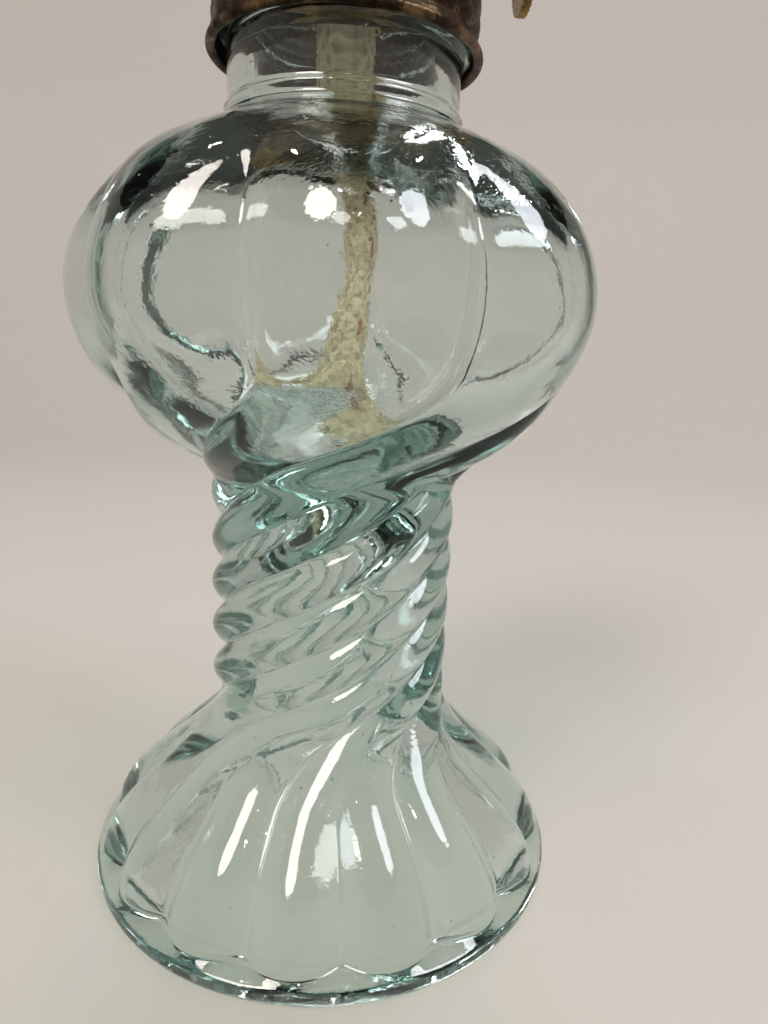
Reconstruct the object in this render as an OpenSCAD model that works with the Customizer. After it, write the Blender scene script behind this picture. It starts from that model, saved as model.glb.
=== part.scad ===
// Kerosene table lamp: one piece of twisted, lobed pressed glass with a screw burner,
// a flat cotton wick and a glass chimney. Millimetres, +Z up, origin under the foot's centre.
// Angles round the lamp are counted from the front, -Y, towards +X.

/* [Glass body] */
// Radius of the flat foot edge
foot_r = 55; // [50:1:60]
// Height of the flat edge under the scallops
foot_edge_h = 3; // [2:0.5:4]
// Height at which the foot has run into the stem
foot_h = 40; // [36:1:44]
// Radius over the stem's ribs
stem_r = 28; // [25:0.5:30]
// Radius over the lobes of the oil font
font_r = 57; // [54:1:62]
// Height of the widest place of the font
font_z = 130; // [126:1:134]
// Height of the font below its widest place
font_low_h = 39; // [36:1:42]
// Height of the font above its widest place
font_up_h = 36; // [33:1:38]
// Radius of the threaded neck, without its thread
neck_r = 24; // [23:0.5:26]
// Bore of the neck
neck_bore_r = 19.5; // [18:0.5:20]
// Length of the neck above the font
neck_h = 24; // [22:0.5:28]
// How far the moulded root of the neck stands out
neck_root = 0.8; // [0.5:0.1:1.2]
// Glass left between the grooves and the hollows
wall_t = 4.5; // [3.5:0.5:6]
// Solid glass between the stem's hollow and the font's floor
web_t = 12; // [9:1:15]

/* [Ribs] */
// Ribs of the stem, lobes of the font; the foot has twice as many scallops
rib_count = 8; // [6:1:10]
// Whole rib spacings that the ribs turn through between foot and font
twist_bays = 7; // [4:1:8]
// Depth of the grooves between the stem's ribs
rib_depth = 3.2; // [2:0.2:4]
// Depth of the grooves between the font's lobes
lobe_depth = 7; // [3:0.5:8]
// Depth of the notches between the foot's scallops
scallop_depth = 4.5; // [3:0.5:6]

/* [Screw thread] */
// Rise of the thread in one turn
thread_pitch = 5.5; // [5:0.25:6.5]
// Height of the glass thread above the neck
thread_h = 1.9; // [1.5:0.1:2.2]
// Turns of the glass thread
thread_turns = 2; // [1.5:0.25:2.25]
// Free play between the glass thread and the metal thread
thread_play = 0.4; // [0.3:0.05:0.6]

/* [Screw cap and deck] */
// Sheet metal of the burner
sheet_t = 0.6; // [0.5:0.1:0.8]
// Free play between the glass thread and the cap's skirt
cap_play = 0.7; // [0.5:0.1:1]
// Length of the cap's skirt
skirt_h = 14.8; // [13:0.2:17]
// Radius of the rolled bead at the skirt's lower edge
bead_r = 1; // [0.7:0.1:1.3]
// Thickness of the sealing washer
seal_t = 1.9; // [1.5:0.1:2.5]
// Radius of the hole in the cap's top
cap_hole_r = 15; // [13:0.5:16]
// Radius of the burner's deck plate
deck_r = 19; // [17.5:0.5:19.5]

/* [Wick and wick tube] */
// Width of the flat wick
wick_w = 12; // [10:0.5:14]
// Thickness of the wick
wick_t = 3.4; // [3:0.2:4]
// Length of the wick
wick_l = 122; // [118:1:126]
// Width of the wick's frayed end
fray_w = 17; // [14:1:18]
// Sideways lean of the hanging wick
wick_lean = 4; // [0:0.5:5]
// Free play of the wick in its tube, each side
wick_play = 0.4; // [0.3:0.05:0.6]
// Length of the wick tube above the deck
tube_up_h = 28; // [26:1:31]
// Length of the wick tube below the deck
tube_down_h = 10; // [6:1:12]

/* [Wick raiser] */
// Radius of the spur wheels
spur_r = 2.8; // [2.4:0.1:3.2]
// Thickness of a spur wheel
spur_t = 1; // [0.8:0.1:1.4]
// Teeth of a spur wheel
spur_teeth = 10; // [8:1:12]
// Radius of the raiser's shaft
shaft_r = 1; // [0.8:0.1:1.2]
// Running clearance of the shaft in its bearings
shaft_play = 0.05; // [0.03:0.01:0.08]
// Height of the shaft above the deck
shaft_up = 6.5; // [6:0.25:7]
// Radius of the thumb wheel
thumb_r = 9; // [7:0.5:10]
// Thickness of the thumb wheel
thumb_t = 1.8; // [1.4:0.2:2.4]
// Distance of the thumb wheel outside the gallery
thumb_out = 6; // [4:0.5:10]
// Notches of the thumb wheel's milled edge
thumb_notches = 36; // [24:2:48]

/* [Air basket and gallery] */
// Lower radius of the air basket
basket_low_r = 21; // [20.5:0.5:22]
// Height of the air basket
basket_h = 13.4; // [12.5:0.2:15]
// Radius of an air hole in the basket
air_hole_r = 1.2; // [0.8:0.1:1.3]
// Air holes in one row of the basket
air_holes = 30; // [20:2:32]
// Width of the gallery's floor outside the chimney
gallery_margin = 4.5; // [4:0.5:6]
// Height of the gallery's upright lip
lip_h = 4.5; // [4:0.5:6]
// Width of a chimney prong
prong_w = 8; // [6:0.5:9]
// Height of a chimney prong above the gallery floor
prong_h = 17.5; // [15:0.5:20]
// Height of the flame spreader's dome
dome_h = 20.5; // [19:0.5:24]
// Width of the flame slot
slot_w = 6; // [5:0.5:7]

/* [Chimney] */
// Outer radius of the chimney's foot
chimney_r = 26; // [25:0.5:28]
// Wall of the chimney
chimney_t = 1.8; // [1.4:0.1:2.2]
// Straight stretch above the chimney's foot
chimney_foot_h = 20; // [19:1:24]
// Radius of the chimney's bulge
bulge_r = 36; // [33:1:39]
// Height of the bulge above the chimney's foot
bulge_up = 44; // [40:1:50]
// Outer radius of the chimney's top
flue_r = 20; // [18:0.5:23]
// Height of the whole chimney
chimney_h = 165; // [145:5:190]

/* [Hidden] */
$fn = 72;
glass_green = [0.55, 0.66, 0.60, 0.6];
old_bronze = [0.30, 0.23, 0.17];
brass = [0.66, 0.52, 0.28];
fit = 0.03;                 // gap where two pieces of one assembly are soldered or pushed together
seat = 0.3;                 // gap under a loose or soft piece at rest
cut = 1;                    // how far a cutter runs past a face

// glass body
rib_step = 360 / rib_count;
rib_phase = -18;            // angle of one foot notch, from the front
twist_low_z = foot_h - 15;  // where the ribs start to turn
twist_ramp = 17;            // height over which the turning sets in and dies out
twist_top_z = font_z - 14;
twist_rate = twist_bays * rib_step / (twist_top_z - twist_low_z - twist_ramp);
font_top_z = font_z + font_up_h;
neck_top_z = font_top_z + neck_h;
scallop_r = foot_r - 1.8;   // over the scallops, inside the flat edge
scallop_z = foot_edge_h + 1.6;
stem_blend = 20;            // softness of the corner between stem and font
neck_blend = 8;
lobe_end_z = font_z + 0.75 * font_up_h;
columns = rib_count * 10;
cavity_r = font_r - lobe_depth - wall_t;
cavity_up_h = font_up_h - wall_t - 0.5;
floor_z = font_z - font_low_h + 4.5;
hollow_r = stem_r - rib_depth - wall_t - 0.8;
hollow_top_z = floor_z - web_t;
base_hollow_r = foot_r - 8.5;
base_hollow_h = foot_h - 4;

// thread and cap
thread_w = 2.2;             // width of a thread at its root
thread_start_z = neck_top_z - 14;
thread_start_a = -80;       // the thread's end shows on the left
cap_in_r = neck_r + thread_h + cap_play;
cap_out_r = cap_in_r + sheet_t;
cap_under_z = neck_top_z + 2 * seat + seal_t;
cap_top_z = cap_under_z + sheet_t;
cap_rim_z = cap_under_z - skirt_h;
cap_thread_r = neck_r + thread_play;
cap_thread_z = cap_rim_z + bead_r + thread_w / 2;
cap_thread_turns = 1;
deck_z = cap_top_z;
deck_t = 0.8;

// wick, tube and raiser
tube_t = 0.5;
tube_in_w = wick_w + 2 * wick_play;
tube_in_t = wick_t + 2 * wick_play;
tube_out_w = tube_in_w + 2 * tube_t;
tube_out_t = tube_in_t + 2 * tube_t;
tube_low_z = deck_z - tube_down_h;
tube_top_z = deck_z + tube_up_h;
wick_top_z = tube_top_z + 2;
wick_low_z = wick_top_z - wick_l;
shaft_y = wick_t / 2 + seat + spur_r;
shaft_z = deck_z + shaft_up;
housing_wall = 0.6;
housing_y1 = shaft_y + spur_r + 0.5 + housing_wall;
housing_half_h = spur_r + 0.5 + housing_wall;
spur_x = tube_in_w / 4;
vent_x = 10.5;              // the vent stands beside the wick tube
vent_r = 1.5;
vent_bore_r = 1.1;
vent_y = -4.5;
vent_up_h = 5;
vent_down_h = 6;

// basket, gallery, dome and prongs
gallery_z = deck_z + basket_h;
gallery_top_z = gallery_z + sheet_t;
gallery_r = chimney_r + gallery_margin;
gallery_hole_r = chimney_r - chimney_t - 4.2;
basket_top_r = gallery_r - 1.5;
bush_r = 2.2;
bush_x0 = basket_low_r + 0.8;
bush_x1 = basket_top_r + 0.5;
thumb_x = gallery_r + thumb_out;
strainer_r = gallery_hole_r + 3.5;
strainer_holes = 18;
dome_r = gallery_hole_r + 0.4;
dome_flange_r = gallery_hole_r + 2.8;
slot_l = tube_out_w + 3;
prong_out_x = sqrt(pow(gallery_r - sheet_t, 2) - pow(prong_w / 2, 2)) - fit;
prong_touch_x = chimney_r + seat;
rivet_r = 0.7;
rivet_head_r = 1.2;
rivet_head_h = 0.5;
rivet_gap = prong_w / 2 - 1.9;
rivet_z = gallery_top_z + lip_h / 2;

// chimney
chimney_z = gallery_top_z + seat;
flue_z = chimney_h - 55;    // where the taper has run out, above the foot

function mix(a, b, t) = a + (b - a) * t;
function clamp01(t) = max(0, min(1, t));
function ease(t) = pow(clamp01(t), 2) * (3 - 2 * clamp01(t));
// the larger of two radii, with a rounded corner of width k between them
function soft_max(a, b, k) = max(a, b) + (abs(a - b) < k ? pow(k - abs(a - b), 2) / (4 * k) : 0);
// half a wave down from a to b
function ogee(a, b, t) = b + (a - b) * (1 + cos(180 * clamp01(t))) / 2;
// an ellipse's radius at height dz from its middle
function oval(r, h, dz) = abs(dz) < h ? r * sqrt(1 - pow(dz / h, 2)) : 0;

// Radius over the ribs at height z, above the flat edge
function lower_r(z) = ogee(scallop_r, stem_r, (z - scallop_z) / (foot_h - scallop_z));
function font_oval(z) = oval(font_r, z < font_z ? font_low_h : font_up_h, z - font_z);
function crest_r(z) =
    z < font_z ? soft_max(lower_r(z), font_oval(z), stem_blend) : soft_max(neck_r + neck_root, font_oval(z), neck_blend);
// How deep the grooves are at height z, in millimetres
function split(z) = ease((foot_h - 4 - z) / 20);
function groove_depth(z) =
    z < foot_h ? rib_depth * (1 - split(z)) :
    z < font_z ? mix(rib_depth, lobe_depth, ease((crest_r(z) - stem_r) / (font_r - stem_r))) :
    lobe_depth * (1 - ease((z - font_z - 0.25 * font_up_h) / (lobe_end_z - font_z - 0.25 * font_up_h)));
function notch_depth(z) = scallop_depth * split(z);
// Angle of the ribs at height z: no turn in foot and font, a steady turn in the stem
function twist(z) =
    let (h = twist_top_z - twist_low_z, t = max(0, min(h, z - twist_low_z)))
    t < twist_ramp ? twist_rate * t * t / (2 * twist_ramp) :
    t > h - twist_ramp ? twist_rate * (h - twist_ramp) - twist_rate * pow(h - t, 2) / (2 * twist_ramp) :
    twist_rate * (t - twist_ramp / 2);
// 0 on a rib's crest, 1 in the groove: a round back and a sharp valley
function bay(u, step) = pow(2 * (u / step - floor(u / step)) - 1, 2);
function around(r, a, z) = [r * sin(a), -r * cos(a), z];
function body_ring(z) = [for (j = [0 : columns - 1])
    let (u = 360 * j / columns,
         r = crest_r(z) - groove_depth(z) * bay(u, rib_step) - notch_depth(z) * bay(u, rib_step / 2))
    around(r, rib_phase + twist(z) + u, z)];
function plain_ring(r, z) = [for (j = [0 : columns - 1]) around(r, rib_phase + 360 * j / columns, z)];

// Heights of the rings of points, closer together where the outline bends most
foot_rows = 9;
stem_rows = 22;
font_rows = 15;
stem_end_z = font_z - 0.77 * font_low_h;
body_heights = concat(
    [for (i = [0 : foot_rows - 1]) mix(scallop_z, foot_h, i / foot_rows)],
    [for (i = [0 : stem_rows - 1]) mix(foot_h, stem_end_z, i / stem_rows)],
    [for (i = [0 : font_rows])
        let (a = mix(-50.3, 84, i / font_rows)) font_z + (a < 0 ? font_low_h : font_up_h) * sin(a)]);
body_rings = concat(
    [plain_ring(foot_r - 0.8, 0), plain_ring(foot_r, 0.8), plain_ring(foot_r, foot_edge_h)],
    [for (z = body_heights) body_ring(z)]);

// A closed skin over a stack of rings with the same number of points
module skin(rings) {
    n = len(rings[0]);
    m = len(rings);
    sides = [for (i = [0 : m - 2], j = [0 : n - 1])
        let (a = i * n + j, b = i * n + (j + 1) % n)
        each [[a, a + n, b], [b, a + n, b + n]]];
    low = [for (j = [0 : n - 1]) j];
    top = [for (j = [n - 1 : -1 : 0]) (m - 1) * n + j];
    polyhedron(points = [for (ring = rings) each ring], faces = concat(sides, [low], [top]));
}

// A screw thread of trapezoid section whose ends run out into the wall.
// root_r is inside the wall, tip_r is the free edge, z is the height of its start.
module screw_thread(root_r, tip_r, root_w, tip_w, z, angle, turns) {
    steps = round(turns * 28);
    skin([for (i = [0 : steps])
        let (t = i / steps,
             fade = min(1, 8 * t + 0.02, 8 * (1 - t) + 0.02),
             r = mix(root_r, tip_r, fade),
             mid = z + thread_pitch * turns * t,
             a = angle + 360 * turns * t)
        [around(root_r, a, mid - root_w / 2), around(r, a, mid - tip_w / 2),
         around(r, a, mid + tip_w / 2), around(root_r, a, mid + root_w / 2)]]);
}

module glass_body() color(glass_green) difference() {
    union() {
        skin(body_rings);
        rotate_extrude() neck_outline();
        screw_thread(neck_r - 0.6, neck_r + thread_h, thread_w + 0.6, thread_w - 0.9,
            thread_start_z, thread_start_a, thread_turns);
    }
    translate([0, 0, font_top_z - 10]) cylinder(r = neck_bore_r, h = neck_h + 10 + cut);
    rotate_extrude() cavity_outline();
    rotate_extrude() hollow_outline();
}

// Half section of the neck, solid, with a rounded mouth
module neck_outline() {
    lip = 1;
    polygon(concat([[0, font_top_z - 4], [neck_r, font_top_z - 4]],
        [for (a = [0 : 15 : 90]) [neck_r - lip + lip * cos(a), neck_top_z - lip + lip * sin(a)]],
        [[0, neck_top_z]]));
}

// Half section of the oil space
module cavity_outline() {
    low_h = font_z - floor_z;
    polygon([for (a = [-90 : 7.5 : 90])
        [max(0, cavity_r * cos(a)), font_z + (a < 0 ? low_h : cavity_up_h) * sin(a)]]);
}

// Half section of the hollow under the foot and in the stem
module hollow_outline() {
    dome = hollow_r * 0.6;
    polygon(concat([[0, -cut], [base_hollow_r, -cut]],
        [for (t = [0 : 0.125 : 1]) [ogee(base_hollow_r, hollow_r, t), base_hollow_h * t]],
        [for (a = [0 : 15 : 90]) [hollow_r * cos(a), hollow_top_z - dome + dome * sin(a)]]));
}

// Cork washer that the cap presses on the neck
module neck_seal() color("tan") translate([0, 0, neck_top_z + seat]) difference() {
    cylinder(r = neck_r + thread_h - 0.4, h = seal_t);
    translate([0, 0, -cut]) cylinder(r = neck_bore_r - 0.5, h = seal_t + 2 * cut);
}

module screw_cap() color(old_bronze) {
    rotate_extrude() {
        translate([cap_in_r, cap_rim_z]) square([sheet_t, cap_top_z - cap_rim_z]);
        translate([cap_hole_r, cap_under_z]) square([cap_in_r + sheet_t / 2 - cap_hole_r, sheet_t]);
        translate([cap_out_r, cap_rim_z]) circle(r = bead_r, $fn = 24);
    }
    screw_thread(cap_in_r + sheet_t / 2, cap_thread_r, thread_w, 0.8, cap_thread_z,
        thread_start_a + 360 * (cap_thread_z + thread_pitch / 2 - thread_start_z) / thread_pitch,
        cap_thread_turns);
}

// A flat tube's section, with rounded corners
module flat_section(w, t) {
    r = min(t, w) / 2 - 0.01;
    square([w - 2 * r, t], center = true);
    for (s = [-1, 1]) translate([s * (w / 2 - r), 0]) circle(r = t / 2, $fn = 32);
}

module deck_plate() color(brass) translate([0, 0, deck_z]) linear_extrude(deck_t) difference() {
    circle(r = deck_r);
    flat_section(tube_out_w + 2 * fit, tube_out_t + 2 * fit);
    translate([vent_x, vent_y]) circle(r = vent_r + fit);
}

module wick_tube() color(brass) difference() {
    translate([0, 0, tube_low_z]) linear_extrude(tube_top_z - tube_low_z) difference() {
        flat_section(tube_out_w, tube_out_t);
        flat_section(tube_in_w, tube_in_t);
    }
    for (s = [-1, 1]) translate([s * spur_x, tube_out_t / 2, shaft_z])
        cube([spur_t + 0.8, 2 * tube_t + 1, 2 * spur_r], center = true);
}

module vent_tube() color(brass) translate([vent_x, vent_y, deck_z - vent_down_h]) difference() {
    cylinder(r = vent_r, h = vent_down_h + vent_up_h, $fn = 32);
    translate([0, 0, -cut]) cylinder(r = vent_bore_r, h = vent_down_h + vent_up_h + 2 * cut, $fn = 32);
}

// Cover over the spur wheels, soldered to the back of the wick tube
module raiser_housing() {
    half_w = spur_x + spur_t / 2 + 0.6 + housing_wall;
    y0 = tube_out_t / 2 + fit;
    color(brass) difference() {
        translate([-half_w, y0, shaft_z - housing_half_h])
            cube([2 * half_w, housing_y1 - y0, 2 * housing_half_h]);
        translate([-half_w + housing_wall, y0 - cut, shaft_z - housing_half_h + housing_wall])
            cube([2 * (half_w - housing_wall), housing_y1 - y0 - housing_wall + cut,
                2 * (housing_half_h - housing_wall)]);
        translate([-half_w - cut, shaft_y, shaft_z]) rotate([0, 90, 0])
            cylinder(r = shaft_r + shaft_play, h = 2 * (half_w + cut), $fn = 48);
    }
}

module shaft_bush() color(brass) translate([bush_x0, shaft_y, shaft_z]) rotate([0, 90, 0]) difference() {
    cylinder(r = bush_r, h = bush_x1 - bush_x0, $fn = 48);
    translate([0, 0, -cut])
        cylinder(r = shaft_r + shaft_play, h = bush_x1 - bush_x0 + 2 * cut, $fn = 48);
}

module air_basket() {
    h = gallery_z - deck_z;
    color(brass) difference() {
        rotate_extrude() polygon([
            [deck_r + fit, deck_z], [basket_low_r + sheet_t, deck_z], [basket_top_r, gallery_z - sheet_t],
            [gallery_r - fit, gallery_z - sheet_t], [gallery_r - fit, gallery_z],
            [basket_top_r - sheet_t, gallery_z], [basket_low_r, deck_z + sheet_t],
            [deck_r + fit, deck_z + sheet_t]]);
        for (row = [0, 1], k = [0 : air_holes - 1]) {
            a = 360 * (k + 0.5 * row) / air_holes;
            if (abs(a - 90) > 16) rotate([0, 0, a - 90])
                translate([basket_low_r - 3, 0, deck_z + h * (0.36 + 0.3 * row)])
                rotate([0, 90, 0]) cylinder(r = air_hole_r, h = 14, $fn = 16);
        }
        translate([basket_low_r - 2, shaft_y, shaft_z]) rotate([0, 90, 0])
            cylinder(r = bush_r + fit, h = 12, $fn = 48);
    }
}

// Perforated plate that spreads the air round the wick tube
module inner_strainer() color(brass) translate([0, 0, gallery_z - sheet_t]) linear_extrude(sheet_t) difference() {
    circle(r = strainer_r);
    flat_section(tube_out_w + 2 * fit, tube_out_t + 2 * fit);
    for (row = [0, 1], k = [0 : strainer_holes - 1]) rotate(360 * (k + 0.5 * row) / strainer_holes)
        translate([gallery_hole_r - 2.5 - 4.2 * row, 0]) circle(r = 0.9, $fn = 16);
}

module gallery_ring() color(brass) difference() {
    rotate_extrude() polygon([
        [gallery_hole_r, gallery_z], [gallery_r, gallery_z], [gallery_r, gallery_top_z + lip_h],
        [gallery_r - sheet_t, gallery_top_z + lip_h], [gallery_r - sheet_t, gallery_top_z],
        [gallery_hole_r, gallery_top_z]]);
    for (k = [0 : 3]) rivet_places(k) cylinder(r = rivet_r + fit, h = 8, center = true, $fn = 24);
}

// Puts a rivet's shape at both rivets of prong k, its axis pointing out of the lamp
module rivet_places(k) rotate([0, 0, 90 * k - 90]) for (s = [-1, 1])
    translate([prong_out_x, s * rivet_gap, rivet_z]) rotate([0, 90, 0]) children();

// A strip of metal bent along a path, as a flat outline of thickness t
function strip(path, t) =
    let (n = len(path),
         side = [for (i = [0 : n - 1])
             let (d = path[min(n - 1, i + 1)] - path[max(0, i - 1)]) [-d[1], d[0]] / norm(d)])
    concat(path, [for (i = [n - 1 : -1 : 0]) path[i] + t * side[i]]);

// A prong stands inside the lip, leans in to the chimney and turns out at its tip
module prong(k) {
    foot = gallery_top_z + fit;
    bend = gallery_top_z + lip_h + 0.5;
    touch = gallery_top_z + 0.62 * prong_h;
    tip = gallery_top_z + prong_h;
    lean = prong_out_x - sheet_t - prong_touch_x;
    path = concat([[prong_out_x, foot], [prong_out_x, bend]],
        [for (t = [0.2 : 0.2 : 0.8]) [prong_out_x - lean * ease(t), mix(bend, touch, t)]],
        [for (t = [0 : 0.2 : 1]) [prong_touch_x + sheet_t + 3 * t * t, mix(touch, tip, t)]]);
    color(brass) difference() {
        rotate([0, 0, 90 * k - 90]) rotate([90, 0, 0])
            linear_extrude(prong_w, center = true) polygon(strip(path, sheet_t));
        rivet_places(k) cylinder(r = rivet_r + fit, h = 8, center = true, $fn = 24);
    }
}
module prong_front() prong(0);
module prong_right() prong(1);
module prong_back() prong(2);
module prong_left() prong(3);

// Two rivets through each prong and the lip, with a head on both sides
module prong_rivets() {
    lip_out = gallery_r - prong_out_x;
    color(brass) for (k = [0 : 3]) rivet_places(k) {
        translate([0, 0, -sheet_t - rivet_head_h])
            cylinder(r = rivet_r, h = sheet_t + lip_out + 2 * rivet_head_h, $fn = 24);
        translate([0, 0, -sheet_t - rivet_head_h - fit]) cylinder(r = rivet_head_r, h = rivet_head_h, $fn = 24);
        translate([0, 0, lip_out + fit]) cylinder(r = rivet_head_r, h = rivet_head_h, $fn = 24);
    }
}

// Dome with the flame slot, on a flange that lies on the gallery's floor
module flame_spreader() color(brass) difference() {
    rotate_extrude() polygon(concat(
        [[dome_r - sheet_t, gallery_top_z], [dome_flange_r, gallery_top_z],
         [dome_flange_r, gallery_top_z + sheet_t]],
        [for (a = [2 : 8 : 90]) [dome_r * cos(a), gallery_top_z + sheet_t + dome_h * sin(a)]],
        [[0, gallery_top_z + sheet_t + dome_h], [0, gallery_top_z + dome_h]],
        [for (a = [82 : -8 : 2]) [(dome_r - sheet_t) * cos(a), gallery_top_z + dome_h * sin(a)]]));
    translate([0, 0, gallery_top_z + dome_h / 2]) linear_extrude(dome_h) flat_section(slot_l, slot_w);
}

// Shaft along X behind the wick tube; its outer end is riveted over the thumb wheel
module raiser_shaft() {
    x0 = -(spur_x + spur_t / 2 + 0.6 + housing_wall) - 0.8;
    color("darkgray") translate([x0, shaft_y, shaft_z]) rotate([0, 90, 0])
        cylinder(r = shaft_r, h = thumb_x + thumb_t + 1.2 - x0, $fn = 48);
}

// Toothed wheel whose points bite into the wick
module spur_wheel(x) color("darkgray") translate([x - spur_t / 2, shaft_y, shaft_z])
    rotate([0, 90, 0]) linear_extrude(spur_t) difference() {
        polygon([for (k = [0 : 2 * spur_teeth - 1])
            let (r = k % 2 == 0 ? spur_r : spur_r - 0.8, a = 180 * k / spur_teeth) [r * cos(a), r * sin(a)]]);
        circle(r = shaft_r + 0.01, $fn = 48);
    }
module spur_wheel_left() spur_wheel(-spur_x);
module spur_wheel_right() spur_wheel(spur_x);

module thumb_wheel() {
    edge = [for (k = [0 : 4 * thumb_notches - 1])
        let (r = k % 4 < 2 ? thumb_r : thumb_r - 0.5, a = 90 * k / thumb_notches) [r * cos(a), r * sin(a)]];
    color(brass) translate([thumb_x, shaft_y, shaft_z]) rotate([0, 90, 0]) difference() {
        union() {
            linear_extrude(thumb_t) polygon(edge);
            translate([0, 0, -2.4]) cylinder(r = 2.6, h = 2.4 + thumb_t + 0.6, $fn = 32);
        }
        translate([0, 0, -3]) cylinder(r = shaft_r + 0.01, h = thumb_t + 6, $fn = 48);
    }
}

// The wick hangs straight in its tube, leans a little in the font and frays out at its end
wick_route = [[0, wick_low_z], [0.1, wick_low_z + 8], [0.5, wick_low_z + 24], [0.8, wick_low_z + 40],
    [1, wick_low_z + 54], [0.75, wick_low_z + 61], [0.3, wick_low_z + 67], [0.04, wick_low_z + 72],
    [0, wick_low_z + 80], [0, wick_top_z]];
function wick_ring(x, z) =
    let (flare = 1 - ease((z - wick_low_z) / 12),
         w = mix(wick_w, fray_w, flare) / 2,
         t = mix(wick_t, wick_t * 1.6, flare) / 2,
         c = t * 0.6)
    [[x + w, -t + c, z], [x + w, t - c, z], [x + w - c, t, z], [x - w + c, t, z],
     [x - w, t - c, z], [x - w, -t + c, z], [x - w + c, -t, z], [x + w - c, -t, z]];
module wick() {
    fray = [for (dz = [0, 3, 6, 9]) [0.01 * dz, wick_low_z + dz]];
    low = [for (p = fray) wick_ring(p[0] * wick_lean, p[1])];
    high = [for (i = [1 : len(wick_route) - 1])
        let (p = wick_route[i]) if (p[1] > wick_low_z + 10) wick_ring(p[0] * wick_lean, p[1])];
    color("burlywood") skin(concat(low, high));
}

// Straight foot, round bulge, long taper and a straight flue, all one wall thick
function chimney_out(z) =
    z < chimney_foot_h ? chimney_r :
    z < bulge_up ? mix(chimney_r, bulge_r, ease((z - chimney_foot_h) / (bulge_up - chimney_foot_h))) :
    mix(bulge_r, flue_r, ease((z - bulge_up) / (flue_z - bulge_up)));
chimney_heights = concat([0, chimney_foot_h],
    [for (t = [0.125 : 0.125 : 1]) mix(chimney_foot_h, bulge_up, t)],
    [for (t = [0.1 : 0.1 : 1]) mix(bulge_up, flue_z, t)], [chimney_h]);
module chimney() color([0.9, 0.95, 0.95, 0.4]) translate([0, 0, chimney_z]) rotate_extrude()
    polygon(concat([for (z = chimney_heights) [chimney_out(z), z]],
        [for (i = [len(chimney_heights) - 1 : -1 : 0])
            let (z = chimney_heights[i]) [chimney_out(z) - chimney_t, z]]));

glass_body();
neck_seal();
screw_cap();
deck_plate();
wick_tube();
vent_tube();
raiser_housing();
shaft_bush();
air_basket();
inner_strainer();
gallery_ring();
prong_front();
prong_right();
prong_back();
prong_left();
prong_rivets();
flame_spreader();
raiser_shaft();
spur_wheel_left();
spur_wheel_right();
thumb_wheel();
wick();
chimney();
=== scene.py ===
import math

import bpy
import numpy as np
from mathutils import Matrix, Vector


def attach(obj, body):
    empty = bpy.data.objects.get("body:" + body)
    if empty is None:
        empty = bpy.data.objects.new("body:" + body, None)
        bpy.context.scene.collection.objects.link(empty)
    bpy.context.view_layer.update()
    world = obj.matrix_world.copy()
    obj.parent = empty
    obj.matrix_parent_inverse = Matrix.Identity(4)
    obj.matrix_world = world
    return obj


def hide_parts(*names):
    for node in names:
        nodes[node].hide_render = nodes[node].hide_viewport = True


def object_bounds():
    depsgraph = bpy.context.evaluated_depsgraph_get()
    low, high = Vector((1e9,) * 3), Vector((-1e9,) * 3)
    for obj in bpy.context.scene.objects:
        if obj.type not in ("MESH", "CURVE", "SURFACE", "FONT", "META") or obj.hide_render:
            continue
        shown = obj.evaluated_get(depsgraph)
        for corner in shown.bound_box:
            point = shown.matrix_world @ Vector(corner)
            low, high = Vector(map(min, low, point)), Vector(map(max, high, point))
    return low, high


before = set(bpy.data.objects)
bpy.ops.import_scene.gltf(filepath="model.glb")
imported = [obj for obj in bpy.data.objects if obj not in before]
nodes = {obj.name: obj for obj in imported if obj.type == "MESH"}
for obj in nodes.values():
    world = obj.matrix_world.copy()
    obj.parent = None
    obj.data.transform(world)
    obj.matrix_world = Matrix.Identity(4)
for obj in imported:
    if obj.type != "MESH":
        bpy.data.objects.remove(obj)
scene = bpy.context.scene
cadBounds = [list(corner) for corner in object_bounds()]
mm = 0.001


# Tools

def linearColour(hexText):
    # sRGB hex to linear: straight at the dark end, then a power of 2.4
    parts = [int(hexText[k:k + 2], 16) / 255 for k in (1, 3, 5)]
    return tuple(c / 12.92 if c <= 0.04045 else ((c + 0.055) / 1.055) ** 2.4 for c in parts) + (1.0,)


def perMetre(sizeMm):
    # how often a pattern of this size in millimetres repeats in a metre
    return 1000.0 / sizeMm


def addNode(tree, kind, settings=None, links=None):
    # one node with its settings and links; lower-case names are properties, the others are sockets
    node = tree.nodes.new("ShaderNode" + kind)
    for name, value in (settings or {}).items():
        if name == "stops":
            first, last = node.color_ramp.elements
            first.position, first.color = value[0][0], linearColour(value[0][1])
            last.position, last.color = value[-1][0], linearColour(value[-1][1])
            for place, colour in value[1:-1]:
                node.color_ramp.elements.new(place).color = linearColour(colour)
        elif isinstance(name, str) and hasattr(node, name):
            setattr(node, name, value)
        else:
            node.inputs[name].default_value = value
    for name, source in (links or {}).items():
        tree.links.new(source, node.inputs[name])
    return node


def startMaterial(name):
    material = bpy.data.materials.new(name)
    material.use_nodes = True
    material.node_tree.nodes.clear()
    return material, material.node_tree


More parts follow.
